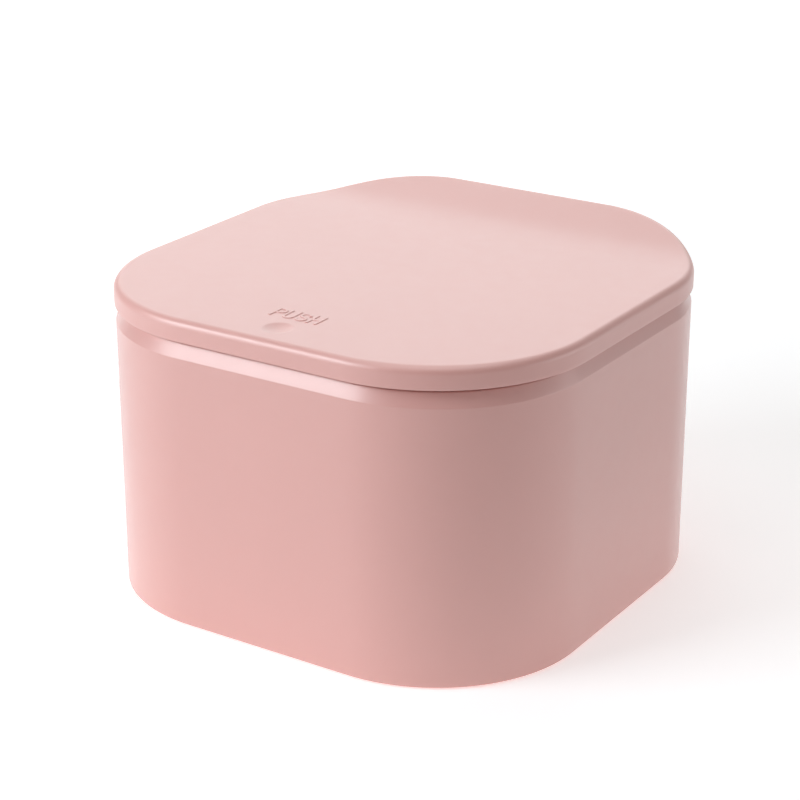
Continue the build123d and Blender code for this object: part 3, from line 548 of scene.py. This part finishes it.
nodes.remove(nodes["Principled BSDF"])
looks, lift = paper_shader(nodes, links, 0.9)
carries, bounce = paper_shader(nodes, links, 0.8)
place = nodes.new("ShaderNodeTexCoord")
away = nodes.new("ShaderNodeVectorMath")
away.operation = "LENGTH"
links.new(place.outputs["Object"], away.inputs[0])
for strength, start, end, near, far in (
    (lift, LIFT_START, LIFT_END, LIFT_NEAR, LIFT_FAR),
    (bounce, BOUNCE_START, BOUNCE_END, BOUNCE_NEAR, BOUNCE_FAR),
):
    fade = nodes.new("ShaderNodeMapRange")
    fade.interpolation_type = "SMOOTHSTEP"
    fade.inputs["From Min"].default_value = start
    fade.inputs["From Max"].default_value = end
    fade.inputs["To Min"].default_value = near
    fade.inputs["To Max"].default_value = far
    links.new(away.outputs["Value"], fade.inputs["Value"])
    links.new(fade.outputs["Result"], strength)
pick = nodes.new("ShaderNodeMixShader")
links.new(seen_directly(nodes, links), pick.inputs["Fac"])
links.new(carries, pick.inputs[1])
links.new(looks, pick.inputs[2])
links.new(pick.outputs["Shader"], nodes["Material Output"].inputs["Surface"])
floor.data.materials.append(paper)

# The room: a trace of even light on the bin, white where the camera sees it, and in reflections a
# wall a little under white that reaches white overhead.
AMBIENT, WALL_SHINE, CEILING_SHINE, WALL_TOP, CEILING_START = 0.01, 0.7, 1.0, 0.1, 0.5
world = bpy.data.worlds.new("studio_world")
scene.world = world
world.use_nodes = True
nodes, links = world.node_tree.nodes, world.node_tree.links
room = nodes["Background"]
mirrored = nodes.new("ShaderNodeBackground")
backdrop = nodes.new("ShaderNodeBackground")
for part in (room, mirrored, backdrop):
    part.inputs["Color"].default_value = (1, 1, 1, 1)
room.inputs["Strength"].default_value = AMBIENT
direction = nodes.new("ShaderNodeTexCoord")
height = nodes.new("ShaderNodeSeparateXYZ")
links.new(direction.outputs["Generated"], height.inputs["Vector"])
climb = nodes.new("ShaderNodeMapRange")
climb.interpolation_type = "SMOOTHSTEP"
climb.inputs["From Min"].default_value = WALL_TOP
climb.inputs["From Max"].default_value = CEILING_START
climb.inputs["To Min"].default_value = WALL_SHINE
climb.inputs["To Max"].default_value = CEILING_SHINE
links.new(height.outputs["Z"], climb.inputs["Value"])
links.new(climb.outputs["Result"], mirrored.inputs["Strength"])
reflect = nodes.new("ShaderNodeMixShader")
links.new(seen_directly(nodes, links), reflect.inputs["Fac"])
links.new(room.outputs["Background"], reflect.inputs[1])
links.new(mirrored.outputs["Background"], reflect.inputs[2])
rays = nodes.new("ShaderNodeLightPath")
choose = nodes.new("ShaderNodeMixShader")
links.new(rays.outputs["Is Camera Ray"], choose.inputs["Fac"])
links.new(reflect.outputs["Shader"], choose.inputs[1])
links.new(backdrop.outputs["Background"], choose.inputs[2])
links.new(choose.outputs["Shader"], nodes["World Output"].inputs["Surface"])
AIM_HEIGHT = 0.06


def soft_light(name, azimuth, elevation, distance, width, height, radiance, tint=(1, 1, 1)):
    """A rectangular light that faces the bin; azimuth 0 is in front and 90 on the right.

    Its power is pi times its area times the radiance, so its size doesn't change how bright it looks."""
    a, e = math.radians(azimuth), math.radians(elevation)
    toward = np.array([math.sin(a) * math.cos(e), -math.cos(a) * math.cos(e), math.sin(e)])
    lamp = bpy.data.lights.new(name, "AREA")
    lamp.shape = "RECTANGLE"
    lamp.size, lamp.size_y = width, height
    lamp.energy = radiance * math.pi * width * height
    lamp.color = tint
    item = bpy.data.objects.new(name, lamp)
    scene.collection.objects.link(item)
    item.location = toward * distance + np.array([0, 0, AIM_HEIGHT])
    item.rotation_euler = (math.pi / 2 - e, 0, a)


# Each lamp has its azimuth, elevation, distance, width, height and radiance.
soft_light("light_left", -38, 15, 1.2, 0.6, 0.9, 2.15, tint=(0.95, 1.02, 1.06))
soft_light("light_left_high", -38, 30, 1.2, 0.7, 0.4, 6.2, tint=(0.95, 1.02, 1.07))
soft_light("light_right", 115, 4, 1.2, 1.0, 0.4, 1.7)
soft_light("light_back", 213, 24, 1.6, 1.5, 1.0, 0.95)
soft_light("light_back_high", 213, 50, 1.6, 1.5, 0.6, 0.9)
soft_light("light_top", 33, 85, 1.6, 1.5, 1.5, 1.55)

# ---------------------------------------------------------------- camera
# A long lens a little above the bin, right of its front, with no roll. It looks from DISTANCE at a
# point TARGET above the middle of the footprint, and is moved SIDEWAYS.
AZIMUTH, ELEVATION = math.radians(32.99), math.radians(21.49)
DISTANCE, SIDEWAYS, TARGET = 0.8015, -0.00254, 0.06271
LENS, SENSOR_WIDTH = 99.53, 36
back = np.array([
    math.sin(AZIMUTH) * math.cos(ELEVATION),
    -math.cos(AZIMUTH) * math.cos(ELEVATION),
    math.sin(ELEVATION),
])
right = np.array([math.cos(AZIMUTH), math.sin(AZIMUTH), 0])
lens = bpy.data.cameras.new("camera")
lens.sensor_width = SENSOR_WIDTH
lens.lens = LENS
camera = bpy.data.objects.new("camera", lens)
scene.collection.objects.link(camera)
camera.location = np.array([0, 0, TARGET]) + right * SIDEWAYS + back * DISTANCE
camera.rotation_euler = (math.pi / 2 - ELEVATION, 0, AZIMUTH)
lens.clip_start = 0.01
scene.camera = camera
